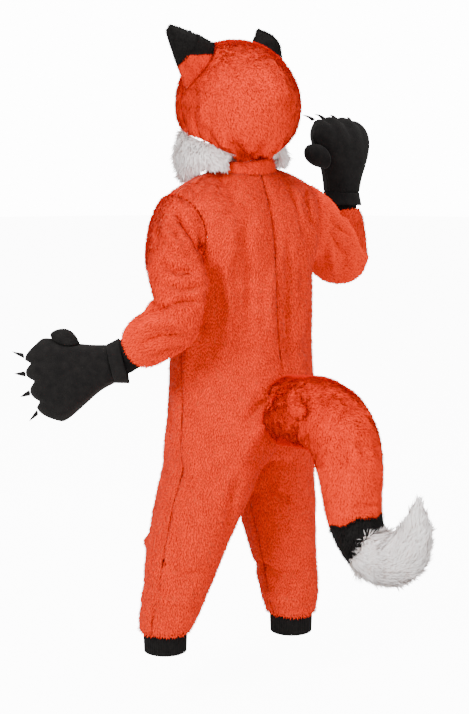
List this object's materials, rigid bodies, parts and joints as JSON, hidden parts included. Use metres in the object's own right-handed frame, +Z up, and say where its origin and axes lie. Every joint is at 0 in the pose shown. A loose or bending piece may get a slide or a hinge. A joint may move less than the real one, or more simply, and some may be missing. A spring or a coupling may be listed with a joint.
{
  "type": "fox costume",
  "caption": "Child's plush fox costume filled out as worn: hooded jumpsuit with ears, cheek fur, stuffed tail and black paw mitts.",
  "frame": {"origin": "middle of the neck opening, where the wearer's neck and shoulders hold the suit", "axes": "+Z up. The wearer faces -Y, and the wearer's left is +X"},
  "size_m": [0.771, 0.6424, 1.1033],
  "materials": {
    "orange_plush": "short pile plush",
    "black_plush": "short pile plush",
    "white_fur": "long pile fur",
    "ear_lining": "smooth short plush",
    "black_fleece": "matte fleece",
    "black_felt": "matte felt",
    "black_knit": "rib knit"
  },
  "bodies": {
    "root": {"front_left": "orange_plush", "front_right": "orange_plush", "back_left": "orange_plush", "back_right": "orange_plush", "back_placket": "orange_plush", "sleeve_left": "orange_plush", "sleeve_right": "orange_plush", "collar": "orange_plush", "hood_crown": "orange_plush", "hood_band": "orange_plush", "cheek_left": "white_fur", "cheek_right": "white_fur", "ear_back_left": "orange_plush", "ear_back_right": "orange_plush", "ear_inner_left": "ear_lining", "ear_inner_right": "ear_lining", "ear_tip_left": "black_plush", "ear_tip_right": "black_plush", "tail": "orange_plush", "tail_band": "black_plush", "tail_tip": "white_fur", "wrist_cuff_left": "black_knit", "wrist_cuff_right": "black_knit", "ankle_cuff_left": "black_knit", "ankle_cuff_right": "black_knit", "mitt_back_left": "black_fleece", "mitt_palm_left": "black_fleece", "mitt_thumb_left": "black_fleece", "mitt_hem_left": "black_fleece", "claw_left_1": "black_felt", "claw_left_2": "black_felt", "claw_left_3": "black_felt", "claw_left_4": "black_felt", "mitt_back_right": "black_fleece", "mitt_palm_right": "black_fleece", "mitt_thumb_right": "black_fleece", "mitt_hem_right": "black_fleece", "claw_right_1": "black_felt", "claw_right_2": "black_felt", "claw_right_3": "black_felt", "claw_right_4": "black_felt"}
  },
  "joints": []
}
